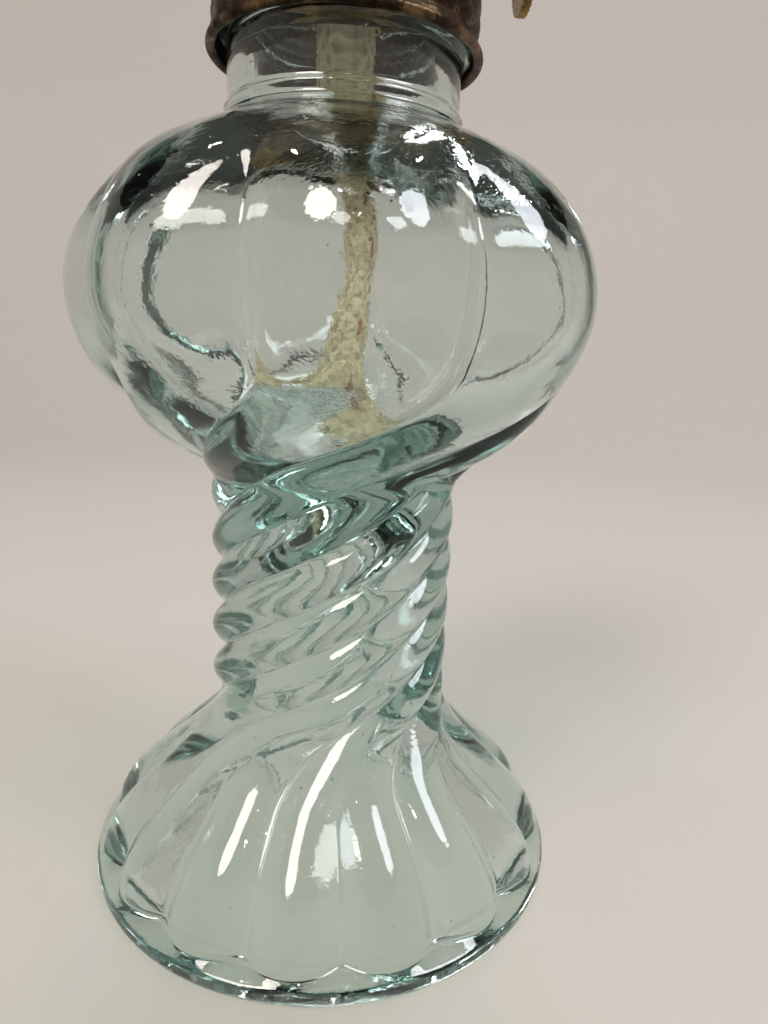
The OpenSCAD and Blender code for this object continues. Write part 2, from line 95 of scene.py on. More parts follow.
def makePiece(name, points, quads, triangles, material, body, replaced=()):
    # a smooth mesh from whole arrays: points in millimetres, faces as rows of point numbers
    quads = np.asarray(quads, np.int32).reshape(-1, 4)
    triangles = np.asarray(triangles, np.int32).reshape(-1, 3)
    mesh = bpy.data.meshes.new(name)
    mesh.vertices.add(len(points))
    mesh.vertices.foreach_set("co", (np.asarray(points) * mm).astype(np.float32).ravel())
    mesh.loops.add(quads.size + triangles.size)
    mesh.loops.foreach_set("vertex_index", np.concatenate([quads.ravel(), triangles.ravel()]))
    starts = np.concatenate([4 * np.arange(len(quads)), quads.size + 3 * np.arange(len(triangles))])
    mesh.polygons.add(len(starts))
    mesh.polygons.foreach_set("loop_start", starts.astype(np.int32))
    mesh.polygons.foreach_set("use_smooth", np.ones(len(starts), bool))
    mesh.update(calc_edges=True)
    mesh.materials.append(material)
    piece = bpy.data.objects.new(name, mesh)
    scene.collection.objects.link(piece)
    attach(piece, body)
    if replaced:
        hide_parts(*replaced)
    return piece


def storeValue(piece, name, values):
    attribute = piece.data.attributes.new(name, "FLOAT", "POINT")
    attribute.data.foreach_set("value", np.asarray(values, np.float32).ravel())


def gridQuads(rowCount, columnCount, closed=False, first=0):
    # quads of a grid that is closed round; each row joins the next, and the last the first if closed
    i, j = np.mgrid[0:rowCount - (0 if closed else 1), 0:columnCount]
    nextRow, nextColumn = (i + 1) % rowCount, (j + 1) % columnCount
    corners = [i * columnCount + j, i * columnCount + nextColumn,
               nextRow * columnCount + nextColumn, nextRow * columnCount + j]
    return first + np.stack(corners, axis=-1).reshape(-1, 4)


def poleFans(rowCount, columnCount, firstPole, lastPole):
    # triangles that close the first and the last row of a grid with a point each
    j = np.arange(columnCount)
    k = (j + 1) % columnCount
    low = np.stack([np.full(columnCount, firstPole), k, j], axis=1)
    base = (rowCount - 1) * columnCount
    high = np.stack([np.full(columnCount, lastPole), base + j, base + k], axis=1)
    return np.concatenate([low, high])


def smoothStep(t):
    # 0 to 1 with level ends: t squared times 3 less 2t
    t = np.clip(t, 0, 1)
    return t * t * (3 - 2 * t)


def mixed(a, b, t):
    return a + (b - a) * t


def around(r, angle, z):
    # a point at radius r, with angles from the front towards +X
    return np.stack([r * np.sin(angle), -r * np.cos(angle), np.broadcast_to(z, np.shape(angle))], axis=-1)


def slowWaves(angle, height, rng, count, roundTurns, shortest):
    # a sum of sine waves in random directions, whole numbers of them round the lamp, about 1 high
    total = np.zeros(np.broadcast(angle, height).shape)
    for turns, length, phase in zip(rng.integers(-roundTurns, roundTurns + 1, count),
                                    rng.uniform(shortest, 3 * shortest, count), rng.uniform(0, 6.28, count)):
        total = total + np.sin(turns * angle + 2 * np.pi * height / length + phase)
    return total / math.sqrt(count)


# Camera, fitted to the outline of foot, stem, font and cap in the photograph
cameraFit = dict(place=(0, -0.16360, 0.11902), focalPixels=710, pictureHeight=1024, sensor=36,
                 pitch=0.218844, yaw=0.0725005, roll=0.0424642)


def makeCamera(fit):
    sinP, cosP = math.sin(fit["pitch"]), math.cos(fit["pitch"])
    forward = np.array([math.sin(fit["yaw"]) * cosP, math.cos(fit["yaw"]) * cosP, -sinP])
    level = np.array([math.cos(fit["yaw"]), -math.sin(fit["yaw"]), 0])
    up = np.cross(level, forward)
    right = math.cos(fit["roll"]) * level + math.sin(fit["roll"]) * up
    above = math.cos(fit["roll"]) * up - math.sin(fit["roll"]) * level
    data = bpy.data.cameras.new("camera")
    data.lens = fit["focalPixels"] / fit["pictureHeight"] * fit["sensor"]
    data.sensor_width = fit["sensor"]
    data.clip_start = 0.01
    camera = bpy.data.objects.new("camera", data)
    camera.matrix_world = Matrix([(right[k], above[k], -forward[k], fit["place"][k]) for k in range(3)] + [(0, 0, 0, 1)])
    scene.collection.objects.link(camera)
    scene.camera = camera


makeCamera(cameraFit)
print("camera made")


# Pressed soda-lime glass, pale green from iron, full of seeds: clear in thin walls, sea green in thick ones
greenGlass = dict(ior=1.5, roughness=0.02, tint="#FAFCFB", shade="#F8FBF9",
                  absorbed=(0.12, 0.44, 0.38, 1.0), density=24.0,
                  ripple=6.0, rippleDepth=0.10, pit=0.9, pitDepth=0.02)


def makeGreenGlass(g):
    material, tree = startMaterial("seedyGreenGlass")
    place = addNode(tree, "TexCoord").outputs["Object"]
    # ripples of the mould's skin, some 6 mm wide, and fine pits under a millimetre
    ripple = addNode(tree, "TexNoise", {"Scale": perMetre(g["ripple"]), "Detail": 1.5}, {"Vector": place})
    pits = addNode(tree, "TexNoise", {"Scale": perMetre(g["pit"]), "Detail": 2.0}, {"Vector": place})
    coarse = addNode(tree, "Bump", {"Distance": g["rippleDepth"] * mm, "Strength": 1.0},
                     {"Height": ripple.outputs["Fac"]})
    fine = addNode(tree, "Bump", {"Distance": g["pitDepth"] * mm, "Strength": 1.0},
                   {"Height": pits.outputs["Fac"], "Normal": coarse.outputs["Normal"]})
    glass = addNode(tree, "BsdfPrincipled", {"Base Color": linearColour(g["tint"]), "Roughness": g["roughness"],
                                             "IOR": g["ior"], "Transmission Weight": 1.0},
                    {"Normal": fine.outputs["Normal"]})
    # lamps and soft light reach the wick through the glass
    clear = addNode(tree, "BsdfTransparent", {"Color": linearColour(g["shade"])})
    path = addNode(tree, "LightPath")
    soft = addNode(tree, "Math", {"operation": "MAXIMUM"},
                   {0: path.outputs["Is Shadow Ray"], 1: path.outputs["Is Diffuse Ray"]})
    both = addNode(tree, "MixShader", None, {0: soft.outputs[0], 1: glass.outputs[0], 2: clear.outputs[0]})
    volume = addNode(tree, "VolumeAbsorption", {"Color": g["absorbed"], "Density": g["density"]})
    addNode(tree, "OutputMaterial", None, {"Surface": both.outputs[0], "Volume": volume.outputs[0]})
    return material


# The glass body: foot, twisted stem, lobed font and threaded neck in one closed skin
glassBody = dict(
    footR=55.0, footEdgeH=3.0, footH=40.0, stemR=28.0, fontR=57.0, fontZ=130.0, fontLowH=39.0, fontUpH=36.0,
    neckR=24.0, neckBoreR=19.5, neckH=24.0, neckRoot=0.8, wallT=4.5, webT=12.0,
    ribCount=8, twistBays=7, ribDepth=3.2, lobeDepth=7.0, scallopDepth=4.5,
    threadPitch=5.5, threadH=1.9, threadTurns=2.0, ribPhase=-18.0, threadStart=-80.0,
    fontWall=3.0, footWall=5.5, boxGap=0.03, valleyRound=0.07, innerLobe=5.6, columns=272, seed=11,
    outerWave=0.10, innerWave=0.28, seeds=400, seedSmall=0.12, seedLarge=0.62)


def halfWave(a, b, t):
    # half a wave down from a to b
    return b + (a - b) * (1 + np.cos(np.pi * np.clip(t, 0, 1))) / 2


def softMax(a, b, width):
    # the larger of two radii with a rounded corner between them
    gap = np.abs(a - b)
    return np.maximum(a, b) + np.where(gap < width, (width - gap) ** 2 / (4 * width), 0)


def ovalRadius(r, height, dz):
    return r * np.sqrt(np.clip(1 - (dz / height) ** 2, 0, None))


def crestRadius(g, z):
    # over the ribs: the foot's half wave into the straight stem, then the font's oval, then the neck
    lower = halfWave(g["footR"] - 1.8, g["stemR"], (z - g["footEdgeH"] - 1.6) / (g["footH"] - g["footEdgeH"] - 1.6))
    oval = ovalRadius(g["fontR"], np.where(z < g["fontZ"], g["fontLowH"], g["fontUpH"]), z - g["fontZ"])
    return np.where(z < g["fontZ"], softMax(lower, oval, 20.0), softMax(g["neckR"] + g["neckRoot"], oval, 8.0))


def footShare(g, z):
    # 1 where the foot has its sixteen scallops, 0 where these have run together into eight ribs
    return smoothStep((g["footH"] - 4 - z) / 20)


def grooveDepth(g, z):
    lobes = smoothStep((crestRadius(g, z) - g["stemR"]) / (g["fontR"] - g["stemR"]))
    fade = 1 - smoothStep((z - g["fontZ"] - 0.25 * g["fontUpH"]) / (0.5 * g["fontUpH"]))
    above = np.where(z < g["fontZ"], mixed(g["ribDepth"], g["lobeDepth"], lobes), g["lobeDepth"] * fade)
    return np.where(z < g["footH"], g["ribDepth"] * (1 - footShare(g, z)), above)


def twistAngle(g, z):
    # degrees the ribs have turned: a parabola, a steady rise, and the same parabola back
    low, ramp = g["footH"] - 15, 17.0
    height = g["fontZ"] - 14 - low
    rate = g["twistBays"] * 360 / g["ribCount"] / (height - ramp)
    t = np.clip(z - low, 0, height)
    ending = rate * (height - ramp) - rate * (height - t) ** 2 / (2 * ramp)
    return np.where(t < ramp, rate * t * t / (2 * ramp), np.where(t > height - ramp, ending, rate * (t - ramp / 2)))


def bayShape(g, degrees, step):
    # 0 on a rib's crest and near 1 in the groove, a parabola whose valley is rounded off
    w = np.abs(2 * (degrees / step - np.floor(degrees / step)) - 1)
    edge = 1 - g["valleyRound"]
    return np.where(w < edge, w * w, edge * edge + 2 * edge * (w - edge) - edge * (w - edge) ** 2 / g["valleyRound"])


def threadHeight(g, angle, z):
    # one bump along a helix: its distance from the helix's height gives the flank, its ends fade out
    start = math.radians(g["threadStart"])
    low = g["fontZ"] + g["fontUpH"] + g["neckH"] - 14
    height = np.zeros(np.broadcast(angle, z).shape)
    for turn in range(int(math.ceil(g["threadTurns"])) + 1):
        t = ((angle - start) % (2 * np.pi) / (2 * np.pi) + turn) / g["threadTurns"]
        away = np.abs(z - low - g["threadPitch"] * g["threadTurns"] * t)
        fade = np.clip(np.minimum(10 * t, 10 * (1 - t)), 0, 1)
        height = np.maximum(height, g["threadH"] * smoothStep(fade) * smoothStep((1.75 - away) / 1.25))
    return height


def sectionRows(z, r, groove=0, notch=0, turn=0, thread=0, lobe=0, wave=0):
    z = np.atleast_1d(np.asarray(z, float))
    return np.stack([np.broadcast_to(np.asarray(v, float), z.shape) for v in (z, r, groove, notch, turn, thread, lobe, wave)])


def glassRows(g):
    # the outline from the hollow's top down, round the foot's edge, up the outside and down the inside
    topZ = g["fontZ"] + g["fontUpH"] + g["neckH"]
    floorZ = g["fontZ"] - g["fontLowH"] + 4.5
    hollowR = g["stemR"] - g["ribDepth"] - g["wallT"] - 0.8
    hollowTop, baseR, baseH = floorZ - g["webT"], g["footR"] - 7.0, g["footH"] + 3 - g["footWall"] / 2
    dome = 0.6 * hollowR
    turned = float(twistAngle(g, g["fontZ"]))
    inner, outer = g["innerWave"], g["outerWave"]
    a = np.radians(np.linspace(84, 6, 8))
    parts = [sectionRows(hollowTop - dome + dome * np.sin(a), hollowR * np.cos(a), wave=0.5 * inner)]
    parts.append(sectionRows(np.linspace(hollowTop - dome, baseH + 1, 14), hollowR, wave=0.5 * inner))
    t = np.linspace(1, 0, 26)
    parts.append(sectionRows(baseH * t, halfWave(baseR, hollowR, t), wave=0.5 * inner * np.minimum(1, 8 * t)))
    parts.append(sectionRows(np.zeros(4), [baseR + 0.7, baseR + 2.5, g["footR"] - 2.5, g["footR"] - 0.9]))
    a = np.radians([25, 55, 90])
    parts.append(sectionRows(0.9 - 0.9 * np.cos(a), g["footR"] - 0.9 + 0.9 * np.sin(a)))
    parts.append(sectionRows([1.7, 2.5, g["footEdgeH"]], [g["footR"], g["footR"], g["footR"] - 0.12]))
    t = np.array([0.25, 0.5, 0.75])
    parts.append(sectionRows(g["footEdgeH"] + 1.6 * t, g["footR"] - 0.12 - 1.68 * t, notch=g["scallopDepth"] * t))
    fontAngles = np.radians(np.linspace(-47, 81, 46))
    fontHeights = g["fontZ"] + np.where(fontAngles < 0, g["fontLowH"], g["fontUpH"]) * np.sin(fontAngles)
    z = np.concatenate([np.linspace(g["footEdgeH"] + 1.6, g["footH"], 34)[:-1],
                        np.linspace(g["footH"], fontHeights[0], 52)[:-1], fontHeights])
    parts.append(sectionRows(z, crestRadius(g, z), groove=grooveDepth(g, z), notch=g["scallopDepth"] * footShare(g, z),
                             turn=twistAngle(g, z), wave=outer * np.clip((z - 5) / 5, 0, 1)))
    z = np.array([0.3, 0.8, 1.3, 1.8]) + fontHeights[-1]
    parts.append(sectionRows(z, g["neckR"] + g["neckRoot"] * (1 - smoothStep([0.1, 0.4, 0.75, 1.0])), turn=turned))
    z = np.linspace(z[-1] + 0.5, topZ - 1, 44)
    parts.append(sectionRows(z, g["neckR"], turn=turned, thread=1, wave=0.5 * outer))
    a = np.radians([22, 45, 68, 90])
    parts.append(sectionRows(topZ - 1 + np.sin(a), g["neckR"] - 1 + np.cos(a), turn=turned))
    parts.append(sectionRows([topZ, topZ, topZ - 0.25, topZ - 0.9],
                             [g["neckR"] - 2.4, g["neckBoreR"] + 0.9, g["neckBoreR"] + 0.25, g["neckBoreR"]], turn=turned))
    cavityR, cavityUp = g["fontR"] - g["lobeDepth"] - g["fontWall"], g["fontUpH"] - g["fontWall"] - 0.5
    a = np.radians(np.linspace(62, -86, 46))
    z = g["fontZ"] + np.where(a > 0, cavityUp, g["fontZ"] - floorZ) * np.sin(a)
    parts.append(sectionRows(np.linspace(topZ - 3, z[0] + 1.2, 12), g["neckBoreR"], turn=turned, wave=0.5 * inner))
    lobe = g["innerLobe"] * smoothStep((z - floorZ - 6) / 26) * (1 - smoothStep((z - g["fontZ"] - 6) / 20))
    parts.append(sectionRows(z, cavityR * np.cos(a), turn=turned, lobe=lobe, wave=inner * np.clip(np.cos(a) * 3, 0, 1)))
    return np.concatenate(parts, axis=1), hollowTop, floorZ


def glassSkin(g):
    # radius = crest less groove times rib shape, less notch times scallop shape, plus thread and slow waves;
    # every column of points follows the twist, so that the ribs' crests stay smooth
    rows, hollowTop, floorZ = glassRows(g)
    z, r, groove, notch, turn, thread, lobe, wave = rows[:, :, None]
    degrees = np.arange(g["columns"])[None, :] * 360 / g["columns"]
    step = 360 / g["ribCount"]
    angle = np.radians(g["ribPhase"] + turn + degrees)
    rng = np.random.default_rng(g["seed"])
    radius = r - groove * bayShape(g, degrees, step) - notch * bayShape(g, degrees, step / 2)
    radius = radius + lobe * (1 - np.cos(np.radians(degrees) * g["ribCount"])) / 2
    radius = radius + thread * threadHeight(g, angle, z) * (thread > 0)
    radius = radius + wave * slowWaves(angle, np.broadcast_to(z, angle.shape), rng, 9, 7, 17.0)
    points = around(radius, angle, z).reshape(-1, 3)
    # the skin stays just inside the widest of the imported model
    reach = cadBounds[1][0] / mm - g["boxGap"]
    points[:, :2] = np.clip(points[:, :2], -reach, reach)
    rowCount = rows.shape[1]
    poles = np.array([[0, 0, hollowTop], [0, 0, floorZ]])
    count = len(points)
    return (np.concatenate([points, poles]), gridQuads(rowCount, g["columns"]),
            poleFans(rowCount, g["columns"], count, count + 1))


def outerRadius(g, angle, z):
    # the outside's radius at an angle of the lamp, for what lies inside the wall
    degrees = np.degrees(angle) - g["ribPhase"] - twistAngle(g, z)
    step = 360 / g["ribCount"]
    return (crestRadius(g, z) - grooveDepth(g, z) * bayShape(g, degrees, step)
            - g["scallopDepth"] * footShare(g, z) * bayShape(g, degrees, step / 2))


def innerRadius(g, z):
    # the inside's radius: the hollow of foot and stem, nothing in the web, then the font
    floorZ = g["fontZ"] - g["fontLowH"] + 4.5
    hollowR = g["stemR"] - g["ribDepth"] - g["wallT"] - 0.8
    baseH = g["footH"] + 3 - g["footWall"] / 2
    low = halfWave(g["footR"] - 7.0, hollowR, z / baseH)
    font = ovalRadius(g["fontR"] - g["lobeDepth"] - g["fontWall"],
                      np.where(z < g["fontZ"], g["fontZ"] - floorZ, g["fontUpH"] - g["fontWall"] - 0.5), z - g["fontZ"])
    return np.where(z < floorZ - g["webT"], low, np.maximum(font, np.where(z > g["fontZ"], g["neckBoreR"], 0)))


def glassSeeds(g, first):
    # small closed bubbles inside the wall; their faces point into the bubble, away from the glass
    rng = np.random.default_rng(g["seed"] + 1)
    count = g["seeds"]
    z = np.concatenate([rng.uniform(7, 38, count // 3), rng.uniform(38, 100, count // 5),
                        rng.uniform(100, 186, count - count // 3 - count // 5)])
    angle = rng.uniform(0, 2 * np.pi, count)
    size = mixed(g["seedSmall"], g["seedLarge"], rng.uniform(0, 1, count) ** 3.2)
    inside, outside = innerRadius(g, z) + 0.9 + g["innerLobe"] * ((z > 104) & (z < 156)), outerRadius(g, angle, z) - 0.9
    middle = mixed(inside, outside, rng.uniform(0.05, 0.95, count))
    fits = outside - inside > 0.3
    z, angle, size, middle = z[fits], angle[fits], size[fits], middle[fits]
    across, down = np.arange(8) * np.pi / 4, np.radians([36, 72, 108, 144])
    ball = np.stack([np.sin(down)[:, None] * np.cos(across), np.sin(down)[:, None] * np.sin(across),
                     np.cos(down)[:, None] * np.ones(8)], axis=-1).reshape(-1, 3)
    ball = np.concatenate([ball, [[0, 0, 1], [0, 0, -1]]])
    long = mixed(1.0, 1.7, rng.uniform(0, 1, len(z)) ** 2)
    scale = size[:, None] * np.stack([np.ones(len(z)), np.ones(len(z)), long], axis=1) / 2
    points = around(middle, angle, z)[:, None, :] + ball[None] * scale[:, None, :]
    offsets = first + len(ball) * np.arange(len(z))[:, None, None]
    quads = gridQuads(4, 8)[None] + offsets
    fans = poleFans(4, 8, 32, 33)[None] + offsets
    return points.reshape(-1, 3), quads.reshape(-1, 4), fans.reshape(-1, 3)


def makeGlassBody(g, material):
    points, quads, fans = glassSkin(g)
    seedPoints, seedQuads, seedFans = glassSeeds(g, len(points))
    return makePiece("glassBody", np.concatenate([points, seedPoints]), np.concatenate([quads, seedQuads]),
                     np.concatenate([fans, seedFans]), material, "glass", ["glass_body"])


seedyGreenGlass = makeGreenGlass(greenGlass)
glassPiece = makeGlassBody(glassBody, seedyGreenGlass)
print("glass body made:", len(glassPiece.data.polygons), "faces")


# Flat cotton wick: coarse yarns with a slant weave, dirty cream, soaked and frayed at its end
wickForm = dict(width=12.0, thickness=3.4, length=122.0, topZ=223.1, heldZ=172.0, frayW=17.0, lean=4.0, frayH=12.0,
                yarns=22, yarnDepth=0.34, slantLength=5.2, lumpDepth=0.30, columns=132, rows=380, seed=5,
                fibres=420, fibreR=0.045, endYarns=46, endYarnR=0.62)
wickRoute = np.array([[0, 0], [0.1, 8], [0.5, 24], [0.8, 40], [1, 54], [0.75, 61], [0.2, 67], [0, 71],
                      [0, 80], [0, 122.0]])


def wickMiddle(w, z):
    # the lean at height z, interpolated along the route's points
    return w["lean"] * np.interp(z - (w["topZ"] - w["length"]), wickRoute[:, 1], wickRoute[:, 0])


def strandTubes(paths, radius, sides, first=0):
    # a tube of few sides round each path, all at once; its ends are closed with a point each
    tangent = np.gradient(paths, axis=1)
    tangent /= np.linalg.norm(tangent, axis=2, keepdims=True)
    reference = np.where(np.abs(tangent[..., 2:3]) > 0.8, [1.0, 0, 0], [0, 0, 1.0])
    sideA = np.cross(tangent, reference)
    sideA /= np.linalg.norm(sideA, axis=2, keepdims=True)
    sideB = np.cross(tangent, sideA)
    turn = np.arange(sides) * 2 * np.pi / sides
    ring = sideA[:, :, None] * np.cos(turn)[:, None] + sideB[:, :, None] * np.sin(turn)[:, None]
    points = paths[:, :, None] + np.broadcast_to(radius, paths.shape[:2])[:, :, None, None] * ring
    count, steps = paths.shape[:2]
    body = np.concatenate([points.reshape(count, -1, 3), paths[:, :1], paths[:, -1:]], axis=1)
    offsets = first + body.shape[1] * np.arange(count)[:, None, None]
    quads = gridQuads(steps, sides)[None] + offsets
    fans = poleFans(steps, sides, steps * sides, steps * sides + 1)[None] + offsets
    return body.reshape(-1, 3), quads.reshape(-1, 4), fans.reshape(-1, 3)


def wickSkin(w):
    # a rounded flat section carried along the route; yarns stand out as a slant weave over slow lumps
    rng = np.random.default_rng(w["seed"])
    lowZ = w["topZ"] - w["length"]
    z = np.linspace(lowZ + 2.0, w["topZ"], w["rows"])[:, None]
    v = np.arange(w["columns"])[None, :] / w["columns"]
    flare = 0.55 * (1 - smoothStep((z - lowZ) / w["frayH"]))
    free = smoothStep((w["heldZ"] - z) / 6)     # held flat as far as the tube takes it up, loose below
    halfW = mixed(w["width"], w["frayW"], flare) / 2 * (1 - 0.02 * free)
    halfT = mixed(w["thickness"], 1.6 * w["thickness"], flare) / 2
    turn = 2 * np.pi * v
    cosT, sinT = np.cos(turn), np.sin(turn)
    x = halfW * np.sign(cosT) * np.abs(cosT) ** 0.62
    y = halfT * np.sign(sinT) * np.abs(sinT) ** 0.62
    over = np.cos(2 * np.pi * (w["yarns"] / 2 * v + z / w["slantLength"]))
    under = np.cos(2 * np.pi * (w["yarns"] / 2 * v - z / w["slantLength"]))
    weave = np.maximum(over, under) * 0.6 + 0.4 * np.abs(np.sin(np.pi * (w["yarns"] * v + 0.12 * np.sin(z / 1.9))))
    lumps = slowWaves(turn, z, rng, 16, 9, 4.0) * 0.6 + slowWaves(turn, z, rng, 24, 24, 1.5) * 0.4
    out = (w["yarnDepth"] * (weave - 1) + w["lumpDepth"] * (lumps - 1.4) * mixed(0.3, 1.0, free))
    across = np.stack([x / halfW ** 2, y / halfT ** 2], axis=-1)
    across /= np.linalg.norm(across, axis=-1, keepdims=True)
    sway = 0.35 * free * np.sin(z / 5.3) + 0.2 * free * np.sin(z / 2.1)
    px = x + across[..., 0] * out + wickMiddle(w, z) + sway
    py = y + across[..., 1] * out + 0.25 * free * np.sin(z / 4.1)
    points = np.stack([px, py, np.broadcast_to(z, px.shape)], axis=-1).reshape(-1, 3)
    ends = np.array([[wickMiddle(w, lowZ + 2.0), 0, lowZ + 2.0], [0, 0, w["topZ"]]])
    # the weave and lump height also drives painted shade in the cloth's colour: the lower the surface, the darker
    return points, ends, (weave + 0.5 * lumps)


def wickFringe(w):
    # thick yarn ends that curl out of the frayed end, and loose fibres along the edges
    rng = np.random.default_rng(w["seed"] + 1)
    lowZ = w["topZ"] - w["length"]
    n = w["endYarns"]
    t = np.linspace(0, 1, 9)[None, :]
    turn = rng.uniform(0, 2 * np.pi, n)[:, None]
    reach = rng.uniform(0.55, 1.0, n)[:, None]
    startX, startY = 4.6 * np.cos(turn) * reach, 1.2 * np.sin(turn) * reach
    endX = 8.0 * np.cos(turn) * reach + rng.normal(0, 0.5, (n, 1))
    endY = 2.2 * np.sin(turn) * reach + rng.normal(0, 0.2, (n, 1))
    top = lowZ + rng.uniform(5.5, 10.5, (n, 1))
    bottom = lowZ + rng.uniform(0.75, 3.6, (n, 1))
    bulge = np.sin(np.pi * t) * rng.uniform(-0.5, 0.9, (n, 1))
    x = mixed(startX, endX, smoothStep(t)) + bulge * np.cos(turn) + wickMiddle(w, lowZ)
    y = mixed(startY, endY, smoothStep(t)) + bulge * 0.5 * np.sin(turn)
    z = mixed(top, bottom, t ** 1.3) + 0.5 * np.sin(9 * t + 6 * turn) * t
    yarns = np.stack([x, np.clip(y, -2.0, 2.0), np.maximum(z, lowZ + 0.7)], axis=-1)
    yarns[..., 0] = np.clip(yarns[..., 0], -7.7, 7.7)
    radius = w["endYarnR"] * (1 - 0.45 * t ** 3) * rng.uniform(0.6, 1.0, (n, 1))
    m = w["fibres"]
    s = np.linspace(0, 1, 5)[None, :]
    height = rng.uniform(lowZ + 1, w["heldZ"] - 1, (m, 1))
    side = np.where(rng.random((m, 1)) < 0.5, -1.0, 1.0)
    out = rng.uniform(0.5, 1.6, (m, 1)) * s
    x = side * (w["width"] / 2 - 0.9 + out * rng.uniform(0.5, 1, (m, 1))) + wickMiddle(w, height) + 0.2 * np.sin(5 * s)
    y = rng.uniform(-1.4, 1.4, (m, 1)) * (1 + 0.3 * s)
    z = height - rng.uniform(-0.6, 1.6, (m, 1)) * s ** 1.5
    fibres = np.stack([x, np.broadcast_to(y, x.shape), z], axis=-1)
    return yarns, radius, fibres


# Cotton yarn, bleached once and now soaked: matt, creamy grey brown, with a red marker thread on one side; painted
# shade makes it darker between the yarns and in the hollows of the lumps
cottonLook = dict(light="#D6CAAC", middle="#B6A88A", dark="#7A6D54", marker="#8A4234", fuzz=0.5, roughness=0.92)


def makeCotton(c):
    material, tree = startMaterial("soakedCottonYarn")
    place = addNode(tree, "TexCoord").outputs["Object"]
    tone = addNode(tree, "Attribute", {"attribute_name": "tone"})
    fuzz = addNode(tree, "TexNoise", {"Scale": perMetre(c["fuzz"]), "Detail": 4.0, "Roughness": 0.7}, {"Vector": place})
    blotch = addNode(tree, "TexNoise", {"Scale": perMetre(7.0), "Detail": 3.0}, {"Vector": place})
    # painted shade from the stored height (darker between the yarns), added to the random fuzz and blotches
    sumA = addNode(tree, "Math", {"operation": "MULTIPLY_ADD", 1: 0.55}, {0: fuzz.outputs["Fac"], 2: tone.outputs["Fac"]})
    sumB = addNode(tree, "Math", {"operation": "MULTIPLY_ADD", 1: 0.5}, {0: blotch.outputs["Fac"], 2: sumA.outputs[0]})
    cream = addNode(tree, "ValToRGB", {"stops": [(0.35, c["dark"]), (0.75, c["middle"]), (1.0, c["light"])]},
                    {"Fac": sumB.outputs[0]})
    red = addNode(tree, "Attribute", {"attribute_name": "marker"})
    colour = addNode(tree, "Mix", {"data_type": "RGBA", 7: linearColour(c["marker"])},
                     {0: red.outputs["Fac"], 6: cream.outputs["Color"]})
    bump = addNode(tree, "Bump", {"Distance": 0.15 * mm, "Strength": 0.8}, {"Height": fuzz.outputs["Fac"]})
    cloth = addNode(tree, "BsdfPrincipled", {"Roughness": c["roughness"], "Sheen Weight": 0.25, "Sheen Roughness": 0.5},
                    {"Base Color": colour.outputs[2], "Normal": bump.outputs["Normal"]})
    addNode(tree, "OutputMaterial", None, {"Surface": cloth.outputs[0]})
    return material


def makeWick(w, material):
    points, ends, weave = wickSkin(w)
    rows, columns = weave.shape
    count = len(points)
    quads, fans = gridQuads(rows, columns), poleFans(rows, columns, count, count + 1)
    yarns, yarnRadius, fibres = wickFringe(w)
    first = count + 2
    endPoints, endQuads, endFans = strandTubes(yarns, yarnRadius, 7, first)
    fuzzPoints, fuzzQuads, fuzzFans = strandTubes(fibres, w["fibreR"], 3, first + len(endPoints))
    everyPoint = np.concatenate([points, ends, endPoints, fuzzPoints])
    piece = makePiece("cottonWick", everyPoint, np.concatenate([quads, endQuads, fuzzQuads]),
                      np.concatenate([fans, endFans, fuzzFans]), material, "wick", ["wick"])
    rng = np.random.default_rng(w["seed"] + 2)
    # painted shade: the skin's value follows the weave and lump height, darker in the valleys; end yarns get a random
    # tone
    tone = np.concatenate([(0.25 + 0.22 * weave).ravel(), [0.3, 0.3], rng.uniform(0.2, 0.5, len(endPoints)),
                           np.full(len(fuzzPoints), 0.4)])
    storeValue(piece, "tone", tone)
    # the marker thread: a wavy line on the right of the front that dips under the yarns now and then
    x, y, z = everyPoint.T
    line = wickMiddle(w, z) + 2.9 + 0.8 * np.sin(z / 4.3)
    shown = smoothStep((np.sin(z / 3.1) + 0.6 * np.sin(z / 7.7)) * 1.6 - 0.35)
    storeValue(piece, "marker", 0.8 * shown * smoothStep((0.75 - np.abs(x - line)) / 0.4) * (y < 0.5))
    return piece


soakedCottonYarn = makeCotton(cottonLook)
makeWick(wickForm, soakedCottonYarn)
print("wick made")


# Screw cap of thin spun metal with a formed thread and a rolled bead
capForm = dict(inR=26.6, sheetT=0.6, rimZ=177.7, underZ=192.5, beadR=1.0, holeR=15.0, cornerR=1.1,
               threadZ=179.8, threadPitch=5.5, threadTurns=1.0, threadDepth=2.2, outsideShare=0.38, columns=216)


def capThread(c, angle, z):
    # the formed thread's depth: a bump along the same helix as the neck's thread
    start = math.radians(glassBody["threadStart"]) + 2 * np.pi * (
        c["threadZ"] + c["threadPitch"] / 2 - (glassBody["fontZ"] + glassBody["fontUpH"] + glassBody["neckH"] - 14)
    ) / c["threadPitch"]
    height = np.zeros(np.broadcast(angle, z).shape)
    for turn in range(2):
        t = ((angle - start) % (2 * np.pi) / (2 * np.pi) + turn) / c["threadTurns"]
        away = np.abs(z - c["threadZ"] - c["threadPitch"] * c["threadTurns"] * t)
        fade = np.clip(np.minimum(8 * t, 8 * (1 - t)), 0, 1)
        height = np.maximum(height, smoothStep(fade) * smoothStep((1.3 - away) / 1.0))
    return height


